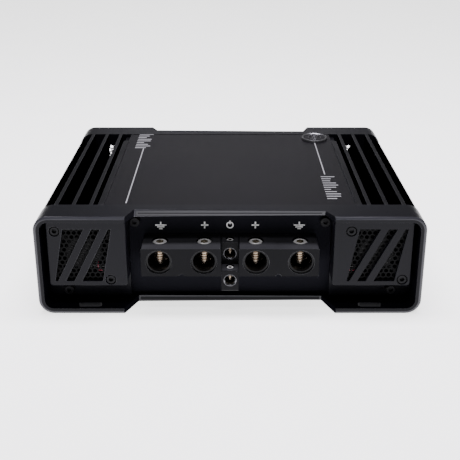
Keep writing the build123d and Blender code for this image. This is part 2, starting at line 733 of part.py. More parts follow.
def control_pots():
    """Potentiometer bodies behind the rear panel, with threaded bushes through it."""
    back = -PANEL_Y
    pots = []
    for x in KNOB_X:
        can_back = back - PANEL_T - 7.0
        pot = block((x - 5.0, x + 5.0), (can_back, back - PANEL_T - 0.2), (KNOB_Z - 5.5, KNOB_Z + 5.5))
        pot += block((x - 3.5, x + 3.5), (can_back, can_back + 1.0), (BOARD_TOP, KNOB_Z))
        pot += rod_y(x, KNOB_Z, 3.4, back - PANEL_T - 0.2, back + 0.2)
        pots.append(pot - rod_y(x, KNOB_Z, 1.5 + RUN, back - 4.5, back + 0.2))
    return pots


def input_jacks():
    """Two phono sockets: barrel, collar and body, with a centre contact hole."""
    back = -PANEL_Y
    jacks = []
    for x in JACK_X:
        jack = rod_y(x, JACK_Z, 4.1, back - PANEL_T - 0.2, back + 11.0)
        jack += rod_y(x, JACK_Z, 5.4, back, back + 1.6)
        jack += block((x - 5.5, x + 5.5), (back - 12.0, back - PANEL_T - 0.2), (BOARD_TOP, JACK_Z + 6.0))
        jack -= rod_y(x, JACK_Z, 1.65, back + 2.0, back + 11.0)
        jacks.append(jack)
    return jacks


def switch_body():
    """Slide switch can behind the rear panel, open towards its slot."""
    back = -PANEL_Y - PANEL_T
    can = block((SWITCH_X - 5.5, SWITCH_X + 5.5), (back - 5.0, back - 0.2), (BOARD_TOP, SWITCH_Z + 3.5))
    return can - block((SWITCH_X - 4.5, SWITCH_X + 4.5), (back - 3.0, back - 0.2), (SWITCH_Z - 2.4, SWITCH_Z + 2.4))


def switch_slider():
    """Slider of the filter switch, at one end of its slot."""
    back = -PANEL_Y
    x = SWITCH_X - SWITCH_TRAVEL / 2
    slider = block((x - 2.3, x + 2.3), (back - 4.8, back - 2.6), (SWITCH_Z - 2.0, SWITCH_Z + 2.0))
    slider += block((x - 1.8, x + 1.8), (back - 2.6, back + 2.0), (SWITCH_Z - 1.2, SWITCH_Z + 1.2))
    return slider


def indicator_lens():
    back = -PANEL_Y
    lens = rod_y(LENS_X, LENS_Z, 1.5, back - 4.0, back + 0.8)
    lens = fillet(lens.edges().group_by(Axis.Y)[-1], 0.7)
    return lens + rod_y(LENS_X, LENS_Z, 2.2, back - 4.0, back - PANEL_T - 0.1)


# ---- inside the case ----


def circuit_board():
    """Glass-fibre board on its standoffs."""
    board = block((-BOARD_HALF_X, BOARD_HALF_X), (-BOARD_HALF_Y, BOARD_HALF_Y), (BOARD_LOW, BOARD_TOP))
    for x, y in STANDOFFS:
        board -= rod_z(x, y, 1.5 + HOLE_GAP, BOARD_LOW, BOARD_TOP)
    return board


def standoffs():
    """Pillars between the bottom plate and the board, with a screw end each way."""
    pillars = []
    for x, y in STANDOFFS:
        pillar = prism_z(Pos(x, y) * RegularPolygon(3.2, 6), BOTTOM_TOP, BOARD_LOW)
        pillar += rod_z(x, y, 1.5, BOTTOM_LOW + 0.4, BOARD_TOP + 1.5)
        pillars.append(pillar + rod_z(x, y, 2.6, BOARD_TOP, BOARD_TOP + 1.6))
    return pillars


def ring_core(x, y, z, outer, inner, height):
    return rod_z(x, y, outer, z, z + height) - rod_z(x, y, inner, z, z + height)


def ring_winding(x, y, z, outer, inner, height, wire, turns):
    """Separate turns of heavy wire round a ring core."""
    loops = []
    middle = (outer + inner) / 2
    gap = 0.08
    for k in range(turns):
        loop = Box(outer - inner + 2 * wire, wire, height + 2 * wire)
        loop -= Box(outer - inner + 2 * gap, wire, height + 2 * gap)
        loops.append(Pos(x, y, z + height / 2) * Rot(0, 0, k * 360 / turns) * Pos(middle, 0, 0) * loop)
    return loops


def filter_capacitors():
    """Tall electrolytic cans with a crimp groove and a vented top."""
    cans = []
    places = [(x, -40.0) for x in (-42.0, -24.0, -6.0, 12.0, 30.0)]
    places += [(24.0, -18.0), (42.0, -18.0), (24.0, 2.0), (42.0, 2.0)]
    for x, y in places:
        can = rod_z(x, y, 8.0, BOARD_TOP, BOARD_TOP + 32.0)
        can = fillet(can.edges().group_by(Axis.Z)[-1], 1.0)
        can -= rod_z(x, y, 8.2, BOARD_TOP + 3.0, BOARD_TOP + 4.2) - rod_z(x, y, 7.5, BOARD_TOP + 3.0, BOARD_TOP + 4.2)
        for turn in (0, 90):
            can -= Pos(x, y, BOARD_TOP + 31.9) * Rot(0, 0, turn) * Box(9.0, 0.5, 0.4)
        cans.append(can)
    return cans


def power_transistors():
    """Flat packages standing against both channel walls, legs down into the board."""
    packages = []
    for side in (-1, 1):
        outer = side * (WALL_IN - PAD)
        inner = side * (WALL_IN - PAD - 4.8)
        for y in TRANSISTOR_Y:
            package = block(sorted((outer, inner)), (y - 5.6, y + 5.6), (16.0, 34.0))
            for leg in (-3.0, 0.0, 3.0):
                foot = sorted((side * (WALL_IN - PAD - 3.0), side * (WALL_IN - PAD - 2.2)))
                package += block(foot, (y + leg - 0.6, y + leg + 0.6), (BOARD_LOW + 0.2, 16.0))
            packages.append(package)
    return packages


def insulating_pads():
    """Thin pads between the packages and the walls, with the clamp screws through them."""
    pads = []
    for side in (-1, 1):
        x = sorted((side * (WALL_IN - PAD), side * WALL_IN))
        pad = block(x, (-51.0, 51.0), (14.5, 35.5))
        for y in CLAMP_SCREW_Y:
            pad -= rod_x(y, CLAMP_Z, 1.7, *x)
        pads.append(pad)
    return pads


def clamp_bars():
    """Bars that press the packages against the walls."""
    bars = []
    for side in (-1, 1):
        low = WALL_IN - PAD - 4.8
        x = sorted((side * low, side * (low - 4.0)))
        bar = block(x, (-51.0, 51.0), (CLAMP_Z - 4.0, CLAMP_Z + 4.0))
        for y in CLAMP_SCREW_Y:
            bar -= rod_x(y, CLAMP_Z, 1.7, *x)
        bars.append(bar)
    return bars


def clamp_screws():
    """Cap screws through each clamp bar into the channel wall."""
    screws = []
    reach = WALL_OUT - 0.7 - (WALL_IN - PAD - 8.8)
    for side in (-1, 1):
        for y in CLAMP_SCREW_Y:
            screw = Rot(0, 0, -90 * side) * socket_screw(2.75, 2.9, 1.5, reach, 2.5)
            screws.append(Pos(side * (WALL_IN - PAD - 8.8 - 2.9), y, CLAMP_Z) * screw)
    return screws


def main():
    os.makedirs("parts", exist_ok=True)
    cap = end_cap()
    save("front_end_cap", cap)
    save("rear_end_cap", to_rear(cap))
    save("heatsink_body", heatsink_body())
    save("top_plate", top_plate())
    save("bottom_plate", bottom_plate())
    save("front_panel", front_panel())
    save("rear_panel", rear_panel())
    save("badge", badge())
    vent_meshes = []
    for name, side in (("left", -1), ("right", 1)):
        shell = cover(side)
        save(f"fan_cover_{name}", shell)
        save(f"vent_cover_{name}", to_rear(shell))
        sheet = mesh(side)
        save(f"fan_mesh_{name}", sheet)
        vent_meshes.append(to_rear(sheet))
        save(f"fan_frame_{name}", fan_frame(side))
        save(f"fan_rotor_{name}", fan_rotor(side))
        save(f"power_block_{name}", power_block(side))
    save("vent_meshes", vent_meshes)
    save("fan_leads", fan_leads())
    save("cover_screws", cover_screws())
    save("end_cap_screws", end_cap_screws())
    save("panel_screws", panel_screws())
    save("bottom_screws", bottom_screws())
    save("power_terminals", power_terminals())
    for k, x in enumerate((-PORT_X[1], -PORT_X[0], PORT_X[0], PORT_X[1])):
        save(f"power_screw_{k + 1}", power_screw(x))
    save("remote_block", remote_block())
    save("remote_sleeves", remote_sleeves())
    save("remote_screw_upper", remote_screw(0))
    save("remote_screw_lower", remote_screw(1))
    save("bus_bars", bus_bars())
    save("speaker_block", speaker_block())
    save("speaker_sleeves", speaker_sleeves())
    for k, x in enumerate(SPEAKER_PORT_X):
        save(f"speaker_screw_{k + 1}", speaker_screw(x))
    for name, x in zip(KNOB_NAMES, KNOB_X):
        save(name, knob(x))
    save("control_pots", control_pots())
    save("input_jacks", input_jacks())
    save("switch_body", switch_body())
    save("switch_slider", switch_slider())
    save("indicator_lens", indicator_lens())
    save("circuit_board", circuit_board())
    save("board_standoffs", standoffs())
    save("transformer_core", ring_core(*TRANSFORMER))
    save("transformer_winding", ring_winding(*TRANSFORMER, 1.8, 26))
    save("choke_core", ring_core(*CHOKE))
    save("choke_winding", ring_winding(*CHOKE, 1.5, 20))
    save("filter_capacitors", filter_capacitors())
    save("power_transistors", power_transistors())
    save("insulating_pads", insulating_pads())
    save("clamp_bars", clamp_bars())
    save("clamp_screws", clamp_screws())


main()
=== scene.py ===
from math import atan2, cos, pi, radians, sin, sqrt

import bmesh
import bpy
from mathutils import Matrix, Vector


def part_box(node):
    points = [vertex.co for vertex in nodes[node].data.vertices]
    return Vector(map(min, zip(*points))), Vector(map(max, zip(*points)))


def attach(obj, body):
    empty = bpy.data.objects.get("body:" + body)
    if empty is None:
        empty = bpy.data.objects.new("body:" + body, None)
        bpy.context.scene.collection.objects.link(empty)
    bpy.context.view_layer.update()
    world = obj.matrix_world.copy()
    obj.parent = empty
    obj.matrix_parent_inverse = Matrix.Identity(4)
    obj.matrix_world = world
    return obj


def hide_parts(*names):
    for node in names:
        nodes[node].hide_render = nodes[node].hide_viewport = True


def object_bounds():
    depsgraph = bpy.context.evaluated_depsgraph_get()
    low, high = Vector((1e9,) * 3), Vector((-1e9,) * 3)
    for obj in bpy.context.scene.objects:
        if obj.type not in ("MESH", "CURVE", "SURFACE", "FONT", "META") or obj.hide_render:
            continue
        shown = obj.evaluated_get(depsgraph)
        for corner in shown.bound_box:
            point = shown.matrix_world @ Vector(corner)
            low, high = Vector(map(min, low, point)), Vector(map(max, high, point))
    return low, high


# Looks for the car amplifier. Metres, front towards -Y, standing on Z 0.

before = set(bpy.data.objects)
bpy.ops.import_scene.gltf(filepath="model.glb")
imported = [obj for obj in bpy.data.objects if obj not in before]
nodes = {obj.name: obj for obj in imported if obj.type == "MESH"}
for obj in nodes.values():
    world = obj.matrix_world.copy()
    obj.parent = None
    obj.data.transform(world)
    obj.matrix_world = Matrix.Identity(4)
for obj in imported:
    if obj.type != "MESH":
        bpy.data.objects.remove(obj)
cad_low, cad_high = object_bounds()
MM = 0.001
PRINT = 0.06 * MM
SMALL_FACE = 8.0 * MM * MM
JOIN = 0.002 * MM
SHARP = radians(40.0)
EVEN = (1.0, 1.0, 1.0)

finishes = {}


# ---- materials ----


def finish_of(name, colour, metallic, roughness, specular=0.5):
    """A principled material and its tree, with the even values set on the shader."""
    mat = bpy.data.materials.new(name)
    mat.use_nodes = True
    shader = mat.node_tree.nodes["Principled BSDF"]
    shader.inputs["Base Color"].default_value = (*colour, 1.0)
    shader.inputs["Metallic"].default_value = metallic
    shader.inputs["Roughness"].default_value = roughness
    shader.inputs["Specular IOR Level"].default_value = specular
    finishes[name] = mat
    return mat, mat.node_tree, shader


def place(tree, stretch=(1.0, 1.0, 1.0), centre=(0.0, 0.0, 0.0)):
    """Object coordinates, moved to a centre and stretched."""
    coordinates = tree.nodes.new("ShaderNodeTexCoord")
    mapping = tree.nodes.new("ShaderNodeMapping")
    mapping.inputs["Scale"].default_value = stretch
    mapping.inputs["Location"].default_value = [-c * s for c, s in zip(centre, stretch)]
    tree.links.new(coordinates.outputs["Object"], mapping.inputs["Vector"])
    return mapping.outputs["Vector"]


def noise(tree, vector, scale, detail=3.0, rough=0.55):
    node = tree.nodes.new("ShaderNodeTexNoise")
    node.inputs["Scale"].default_value = scale
    node.inputs["Detail"].default_value = detail
    node.inputs["Roughness"].default_value = rough
    tree.links.new(vector, node.inputs["Vector"])
    return node.outputs["Fac"]


def spread(tree, value, low, high, source=(0.3, 0.7)):
    """A value carried from one range into another."""
    node = tree.nodes.new("ShaderNodeMapRange")
    node.inputs["From Min"].default_value = source[0]
    node.inputs["From Max"].default_value = source[1]
    node.inputs["To Min"].default_value = low
    node.inputs["To Max"].default_value = high
    tree.links.new(value, node.inputs["Value"])
    return node.outputs["Result"]


def tint(tree, shader, value, dark, light, source=(0.3, 0.7)):
    """Base colour between two tones by a value."""
    mix = tree.nodes.new("ShaderNodeMix")
    mix.data_type = "RGBA"
    mix.inputs[6].default_value = (*dark, 1.0)
    mix.inputs[7].default_value = (*light, 1.0)
    tree.links.new(spread(tree, value, 0.0, 1.0, source), mix.inputs[0])
    tree.links.new(mix.outputs[2], shader.inputs["Base Color"])


def emboss(tree, shader, value, depth, strength=1.0):
    bump = tree.nodes.new("ShaderNodeBump")
    bump.inputs["Strength"].default_value = strength
    bump.inputs["Distance"].default_value = depth
    tree.links.new(value, bump.inputs["Height"])
    tree.links.new(bump.outputs["Normal"], shader.inputs["Normal"])


def powder_coat(name, dark, light, low, high, grain=1500.0, depth=0.00006, specular=0.5):
    """Fine textured paint with slow changes of gloss from handling."""
    mat, tree, shader = finish_of(name, light, 0.0, (low + high) / 2, specular)
    vector = place(tree)
    slow = noise(tree, vector, 22.0, 5.0)
    fine = noise(tree, vector, grain, 2.0)
    tint(tree, shader, slow, dark, light)
    tree.links.new(spread(tree, slow, low, high), shader.inputs["Roughness"])
    emboss(tree, shader, fine, depth, 0.5)
    return mat


def drawn_metal(
    name, dark, light, low, high, stretch=EVEN, metallic=1.0, depth=0.00004, scale=900.0, specular=0.5
):
    """Metal with die lines or brushing along one axis."""
    mat, tree, shader = finish_of(name, light, metallic, (low + high) / 2, specular)
    lines = noise(tree, place(tree, stretch), scale, 4.0, 0.6)
    slow = noise(tree, place(tree), 30.0, 4.0)
    tint(tree, shader, lines, dark, light)
    tree.links.new(spread(tree, slow, low, high), shader.inputs["Roughness"])
    emboss(tree, shader, lines, depth, 0.45)
    return mat


def moulding(name, dark, light, low, high, grain=2600.0, specular=0.5):
    """Moulded plastic with a spark-eroded grain."""
    mat, tree, shader = finish_of(name, light, 0.0, (low + high) / 2, specular)
    vector = place(tree)
    cells = tree.nodes.new("ShaderNodeTexVoronoi")
    cells.inputs["Scale"].default_value = grain
    tree.links.new(vector, cells.inputs["Vector"])
    slow = noise(tree, vector, 45.0, 4.0)
    tint(tree, shader, slow, dark, light)
    tree.links.new(spread(tree, slow, low, high), shader.inputs["Roughness"])
    emboss(tree, shader, cells.outputs["Distance"], 0.00005, 0.35)
    return mat


def make_finishes():
    """Every finish on the amplifier, by name."""
    coat = {"specular": 0.09}
    powder_coat("case_coat", (0.0032, 0.0032, 0.0046), (0.0042, 0.0042, 0.006), 0.31, 0.35, **coat)
    powder_coat("cover_coat", (0.0030, 0.0030, 0.0044), (0.0042, 0.0042, 0.006), 0.34, 0.4, **coat)
    powder_coat("panel_coat", (0.0062, 0.0062, 0.0086), (0.008, 0.008, 0.011), 0.6, 0.72, specular=0.02)
    powder_coat(
        "plate_coat", (0.0045, 0.0042, 0.0052), (0.0060, 0.0056, 0.0070), 0.385, 0.425,
        grain=2200.0, depth=0.00005, **coat
    )
    drawn_metal(
        "extrusion", (0.0035, 0.0035, 0.0042), (0.0065, 0.0065, 0.0076), 0.32, 0.44,
        (1.0, 0.02, 1.0), 0.0, specular=0.07
    )
    # Lighter, glossier copies of the coats for the rounded edges: painted highlights along the edges.
    edge = {"specular": 0.35}
    powder_coat("case_edge_painted_highlight", (0.017, 0.017, 0.022), (0.024, 0.024, 0.03), 0.26, 0.36, **edge)
    powder_coat("fin_edge_painted_highlight", (0.010, 0.010, 0.013), (0.02, 0.02, 0.024), 0.24, 0.36, **edge)
    powder_coat("block_edge_painted_highlight", (0.03, 0.03, 0.033), (0.045, 0.045, 0.049), 0.26, 0.38, **edge)
    # Darker finishes without reflection for the pocket and channel insides: painted shade.
    dull = {"specular": 0.0}
    powder_coat("case_painted_shade", (0.0018, 0.0018, 0.0028), (0.003, 0.003, 0.0044), 0.8, 0.9, **dull)
    powder_coat("fin_painted_shade", (0.0004, 0.0004, 0.0005), (0.0009, 0.0009, 0.0011), 0.85, 0.95, **dull)
    moulded = {"specular": 0.06}
    # A lighter copy of the terminal moulding for upward faces: painted light.
    moulding("terminal_top_painted_light", (0.017, 0.017, 0.019), (0.025, 0.025, 0.027), 0.3, 0.42, **moulded)
    moulding("terminal_moulding", (0.0018, 0.0018, 0.0026), (0.003, 0.003, 0.004), 0.28, 0.4, **moulded)
    moulding("knob_moulding", (0.010, 0.010, 0.011), (0.018, 0.018, 0.02), 0.4, 0.55, **moulded)
    moulding("fan_moulding", (0.0026, 0.0026, 0.003), (0.0046, 0.0046, 0.0052), 0.4, 0.55, **moulded)
    moulding("package_moulding", (0.015, 0.015, 0.015), (0.028, 0.028, 0.028), 0.5, 0.65)
    moulding("can_sleeve", (0.012, 0.014, 0.03), (0.02, 0.022, 0.05), 0.2, 0.32, 900.0)
    powder_coat(
        "mesh_paint", (0.0018, 0.0018, 0.0020), (0.0032, 0.0032, 0.0035), 0.45, 0.6,
        grain=2500.0, specular=0.05
    )
    drawn_metal(
        "black_oxide", (0.003, 0.003, 0.0035), (0.009, 0.009, 0.010), 0.3, 0.45,
        EVEN, 0.5, scale=700.0, specular=0.12
    )
    # Nickel darkened to near black for the power terminals: painted shade in the port bores and mouths.
    drawn_metal(
        "terminal_nickel_painted_shade", (0.005, 0.005, 0.0055), (0.012, 0.012, 0.0125), 0.2, 0.34,
        (1.0, 0.1, 1.0), 0.3, scale=500.0, specular=0.1
    )
    drawn_metal("nickel", (0.5, 0.47, 0.41), (0.8, 0.77, 0.7), 0.14, 0.28, (1.0, 1.0, 4.0), scale=350.0)
    # Near-white metal for the screw ends: a painted highlight on their tops.
    drawn_metal(
        "screw_end_painted_highlight", (0.72, 0.72, 0.69), (0.92, 0.92, 0.89), 0.3, 0.42, EVEN, 0.5, scale=500.0
    )
    drawn_metal(
        "thread_brass", (0.22, 0.18, 0.14), (0.40, 0.34, 0.27), 0.24, 0.36, (1.0, 1.0, 4.0), scale=350.0
    )
    drawn_metal("sleeve_nickel", (0.06, 0.06, 0.064), (0.14, 0.14, 0.147), 0.16, 0.28, scale=350.0)
    drawn_metal("zinc", (0.38, 0.39, 0.4), (0.62, 0.63, 0.64), 0.28, 0.42, (1.0, 0.05, 1.0))
    drawn_metal("copper", (0.42, 0.13, 0.05), (0.72, 0.27, 0.12), 0.22, 0.36, (1.0, 1.0, 0.2))
    drawn_metal("silver_rim", (0.11, 0.11, 0.115), (0.2, 0.2, 0.21), 0.36, 0.5, depth=0.00001)
    drawn_metal(
        "label_foil", (0.005, 0.005, 0.0055), (0.008, 0.008, 0.0088), 0.34, 0.48,
        (1.0, 1.0, 0.1), 0.0, specular=0.15
    )
    powder_coat("print_white", (0.62, 0.62, 0.62), (0.82, 0.82, 0.82), 0.45, 0.6, depth=0.00002)
    powder_coat("print_silver", (0.22, 0.22, 0.23), (0.34, 0.34, 0.35), 0.35, 0.5, depth=0.00002)
    powder_coat("ferrite", (0.03, 0.035, 0.03), (0.07, 0.08, 0.07), 0.5, 0.7)
    powder_coat("silicone", (0.3, 0.32, 0.33), (0.42, 0.44, 0.45), 0.6, 0.75)
    powder_coat("solder_mask", (0.004, 0.05, 0.02), (0.01, 0.11, 0.045), 0.25, 0.4, grain=600.0)
    for name, dark, light in (
        ("wire_red", (0.10, 0.002, 0.012), (0.17, 0.005, 0.025)),
        ("wire_black", (0.008, 0.008, 0.008), (0.018, 0.018, 0.018)),
        ("insert_red", (0.35, 0.01, 0.01), (0.52, 0.025, 0.02)),
        ("insert_white", (0.6, 0.6, 0.58), (0.78, 0.78, 0.75)),
    ):
        moulding(name, dark, light, 0.35, 0.5, 1800.0)
    lens = powder_coat("lens_blue", (0.02, 0.09, 0.42), (0.05, 0.16, 0.6), 0.08, 0.16, depth=0.00001)
    lens.node_tree.nodes["Principled BSDF"].inputs["Transmission Weight"].default_value = 0.6


make_finishes()


# ---- building ----


def add_piece(name, bm, finish, body, stands_for=(), smooth_angle=30.0):
    """A finished mesh as a piece that rides on a body."""
    bmesh.ops.recalc_face_normals(bm, faces=bm.faces)
    return keep_piece(name, bm, finish, body, stands_for, smooth_angle)


def keep_piece(name, bm, finish, body, stands_for=(), smooth_angle=30.0):
    """The same, with its faces left pointing as they are."""
    mesh = bpy.data.meshes.new(name)
    for face in bm.faces:
        face.smooth = True
    bm.to_mesh(mesh)
    bm.free()
    mesh.set_sharp_from_angle(angle=radians(smooth_angle))
    piece = bpy.data.objects.new(name, mesh)
    bpy.context.scene.collection.objects.link(piece)
    names = [finish] if isinstance(finish, str) else finish
    for one in names:
        mesh.materials.append(finishes[one])
    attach(piece, body)
    if stands_for:
        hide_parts(*stands_for)
    return piece


def merged_copy(node):
    """A node's mesh with its loose triangles joined into flat faces."""
    bm = bmesh.new()
    bm.from_mesh(nodes[node].data)
    bmesh.ops.remove_doubles(bm, verts=bm.verts, dist=JOIN)
    bmesh.ops.dissolve_limit(bm, angle_limit=radians(0.6), verts=bm.verts, edges=bm.edges)
    return bm


def softened(node, finish, width, segments=2, bm=None):
    """A copy of a node with its sharp edges rounded in the second finish, a lighter painted highlight,
    which stands for it.
    """
    piece = keep_piece(node + "_soft", bm or merged_copy(node), finish, "case", (node,))
    bevel = piece.modifiers.new("edges", "BEVEL")
    bevel.material = 1
    bevel.width = width
    bevel.segments = segments
    bevel.limit_method = "ANGLE"
    bevel.angle_limit = SHARP
    bevel.use_clamp_overlap = True
    for face in piece.data.polygons:
        face.use_smooth = face.material_index == 1 or face.area < SMALL_FACE
    return piece


def rounded_at(bm, picked, radius, segments=4):
    """Rounds the sharp edges that a test picks, with the second finish, a painted highlight, on the
    round.
    """
    edges = [e for e in bm.edges if e.calc_face_angle(0.0) > SHARP and picked(e)]
    bmesh.ops.bevel(
        bm, geom=edges, offset=radius * MM, segments=segments, profile=0.5, affect="EDGES", material=1,
        offset_type="OFFSET", clamp_overlap=True,
    )
    return bm


def lies_at(edge, y):
    """Whether an edge lies in the plane across the length at y."""
    return all(abs(v.co.y - y) < 0.03 * MM for v in edge.verts)


def turned(profile, steps=48):
    """A closed ring solid: a closed (radius, height) outline in mm turned about Z."""
    bm = bmesh.new()
    verts = [bm.verts.new((r * MM, 0.0, z * MM)) for r, z in profile]
    edges = [bm.edges.new((a, b)) for a, b in zip(verts, verts[1:] + verts[:1])]
    bmesh.ops.spin(
        bm, geom=verts + edges, cent=(0, 0, 0), axis=(0, 0, 1), dvec=(0, 0, 0),
        angle=2 * pi, steps=steps, use_merge=True, use_duplicate=False,
    )
    bmesh.ops.remove_doubles(bm, verts=bm.verts, dist=0.001 * MM)
    return bm


def shift(bm, matrix):
    bmesh.ops.transform(bm, matrix=matrix, verts=bm.verts)
    return bm


def bar(bm, low, high, chamfer=0.0):
    """A box from corner to corner, in mm, with its edges taken off."""
    centre = [(a + b) / 2 * MM for a, b in zip(low, high)]
    size = [(b - a) * MM for a, b in zip(low, high)]
    matrix = Matrix.Translation(centre) @ Matrix.Diagonal((*size, 1.0))
    made = bmesh.ops.create_cube(bm, size=1.0, matrix=matrix)
    if chamfer:
        edges = list({e for v in made["verts"] for e in v.link_edges})
        bmesh.ops.bevel(
            bm, geom=edges, offset=chamfer * MM, segments=2, profile=0.5, affect="EDGES", material=-1,
            offset_type="OFFSET", clamp_overlap=True,
        )
    return bm


def joined(bm, other):
    """Adds a second mesh to the first and lets it go."""
    spare = bpy.data.meshes.new("spare")
    other.to_mesh(spare)
    other.free()
    bm.from_mesh(spare)
    bpy.data.meshes.remove(spare)


def carried_on(bm, edges):
    """Extrudes edges in place and gives the new corners."""
    made = bmesh.ops.extrude_edge_only(bm, edges=edges)
    return [v for v in made["geom"] if isinstance(v, bmesh.types.BMVert)]


def open_rim(bm):
    return [e for e in bm.edges if e.is_boundary]


def dress(finish, *names):
    """Gives CAD nodes whose shape is right their finish."""
    for name in names:
        mesh = nodes[name].data
        mesh.materials.clear()
        mesh.materials.append(finishes[finish])


# ---- camera, lights and floor ----

CAMERA_BACK = 0.3776
CAMERA_HEIGHT = 0.2328
CAMERA_PITCH = 18.65
CAMERA_LENS = 59.56
CAMERA_SHIFT = 0.2


def make_camera():
    """A long view from just above the front, nearly on the centre line."""
    data = bpy.data.cameras.new("camera")
    data.sensor_width = 36.0
    data.lens = CAMERA_LENS
    data.shift_y = -CAMERA_SHIFT
    camera = bpy.data.objects.new("camera", data)
    camera.location = (0.0, cad_low.y - CAMERA_BACK, CAMERA_HEIGHT)
    camera.rotation_euler = (radians(90.0 - CAMERA_PITCH), 0.0, 0.0)
    bpy.context.scene.collection.objects.link(camera)
    bpy.context.scene.camera = camera


def soft_light(name, power, size, location, target, colour=(1.0, 1.0, 1.0)):
    data = bpy.data.lights.new(name, "AREA")
    data.shape = "RECTANGLE"
    data.size, data.size_y = size
    data.energy = power
    data.color = colour
    light = bpy.data.objects.new(name, data)
    light.location = location
    light.rotation_euler = (Vector(target) - Vector(location)).to_track_quat("-Z", "Y").to_euler()
    light.visible_camera = False
    bpy.context.scene.collection.objects.link(light)
    return light


def make_stage():
    """Pale floor, even pale surroundings and large soft lights."""
    bm = bmesh.new()
    bmesh.ops.create_grid(bm, x_segments=4, y_segments=4, size=6.0)
    mesh = bpy.data.meshes.new("floor")
    bm.to_mesh(mesh)
    bm.free()
    floor = bpy.data.objects.new("floor", mesh)
    bpy.context.scene.collection.objects.link(floor)
    paper = powder_coat("floor_paper", (0.86, 0.86, 0.86), (0.9, 0.9, 0.9), 0.8, 0.9, grain=300.0)
    glow = paper.node_tree.nodes["Principled BSDF"].inputs
    glow["Emission Color"].default_value = (1.0, 1.0, 1.0, 1.0)
    glow["Emission Strength"].default_value = 2.0
    mesh.materials.append(paper)
    world = bpy.data.worlds.new("surroundings")
    world.use_nodes = True
    background = world.node_tree.nodes["Background"]
    background.inputs["Color"].default_value = (1.0, 1.0, 1.0, 1.0)
    background.inputs["Strength"].default_value = 0.3
    bpy.context.scene.world = world
    aim = (0.0, 0.0, 0.04)
    cool = (0.95, 0.92, 1.0)
    soft_light("top_box", 12.5, (0.6, 0.16), (0.0, 0.0, 0.8), aim, cool)
    soft_light("edge_strip", 2.6, (0.6, 0.03), (0.0, -0.32, 0.8), aim, cool)
    soft_light("rear_strip", 0.32, (0.45, 0.10), (0.0, 1.0, 0.46), aim, cool)
    soft_light("front_strip", 0.16, (0.2, 0.05), (0.0, -0.9, 0.14), aim)


# ---- case ----

TOP_NOTCH = 9.0
FLOOR_NOTCH = 14.4
BAY_TOP = 50.0 * MM
BAY_HALF = 62.0 * MM
PLATE_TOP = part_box("top_plate")[1].z / MM
PANEL_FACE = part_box("front_panel")[0].y / MM
REAR_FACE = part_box("rear_panel")[1].y / MM
MARK_LINE = 46.5


def on_outline(edge):
    """Whether a rim edge belongs to the outside of a cap, not to a pocket or a web."""
    middle = (edge.verts[0].co + edge.verts[1].co) / 2
    away = Vector((middle.x, 0.0, middle.z - cad_high.z / 2))
    side = min(edge.link_faces, key=lambda face: abs(face.normal.y))
    on_web = abs(middle.x) < BAY_HALF and 2.0 * MM < middle.z < BAY_TOP
    return side.normal.dot(away) > 0.0 and not on_web


def end_cap(node, face_y):
    """A cap with its open rim rounded in a lighter finish, a painted highlight, and the insides of its
    pockets darkened without reflection as painted shade.
    """
    bm = merged_copy(node)
    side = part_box(node)[1].x - 0.6 * MM
    # Faces deep inside the pockets take the third finish: painted shade.
    for face in bm.faces:
        middle = face.calc_center_median()
        deep = abs(middle.y - face_y) > 1.2 * MM and 0.6 * MM < middle.z < BAY_TOP
        if deep and abs(middle.x) < side and abs(face.normal.y) < 0.7:
            face.material_index = 2
    # The rounds take the second finish: painted highlights along the rims.
    rounded_at(bm, lambda e: lies_at(e, face_y) and on_outline(e), 2.0, 5)
    rounded_at(bm, lambda e: lies_at(e, face_y), 0.8, 3)
    inward = -1 if face_y > 0 else 1
    top_y = face_y + inward * TOP_NOTCH * MM
    floor_y = face_y + inward * FLOOR_NOTCH * MM
    rounded_at(bm, lambda e: lies_at(e, top_y) and e.verts[0].co.z > BAY_TOP, 1.4, 4)
    rounded_at(bm, lambda e: lies_at(e, floor_y) and e.verts[0].co.z < 8.0 * MM, 0.7, 3)
    softened(node, ["case_coat", "case_edge_painted_highlight", "case_painted_shade"], 0.3 * MM, 3, bm=bm)


def finned_body():
    """The extrusion, with painted shade, a darker finish without reflection, on the walls and floors of
    the channels between its fins.
    """
    bm = merged_copy("heatsink_body")
    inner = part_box("top_plate")[1].x + 3.0 * MM
    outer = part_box("heatsink_body")[1].x - 2.3 * MM
    # Channel walls and floors take the third finish: painted shade.
    for face in bm.faces:
        middle = face.calc_center_median()
        wall = abs(face.normal.x) > 0.9 or middle.z < 40.0 * MM
        if wall and inner < abs(middle.x) < outer:
            face.material_index = 2
    softened("heatsink_body", ["extrusion", "fin_edge_painted_highlight", "fin_painted_shade"], 0.2 * MM, 2, bm=bm)


def terminal_block(node, face_y, mouth):
    """A terminal housing with wide port mouths and a lighter top, painted light on its upward faces."""
    bm = merged_copy(node)
    # Upward faces take the third finish, a lighter copy of the moulding: painted light.
    for face in bm.faces:
        if face.normal.z > 0.9:
            face.material_index = 2
    if mouth:
        rounded_at(bm, lambda e: lies_at(e, face_y) and e.calc_length() < 2.5 * MM, mouth, 3)
    softened(node, ["terminal_moulding", "block_edge_painted_highlight", "terminal_top_painted_light"], 0.35 * MM, 3, bm=bm)


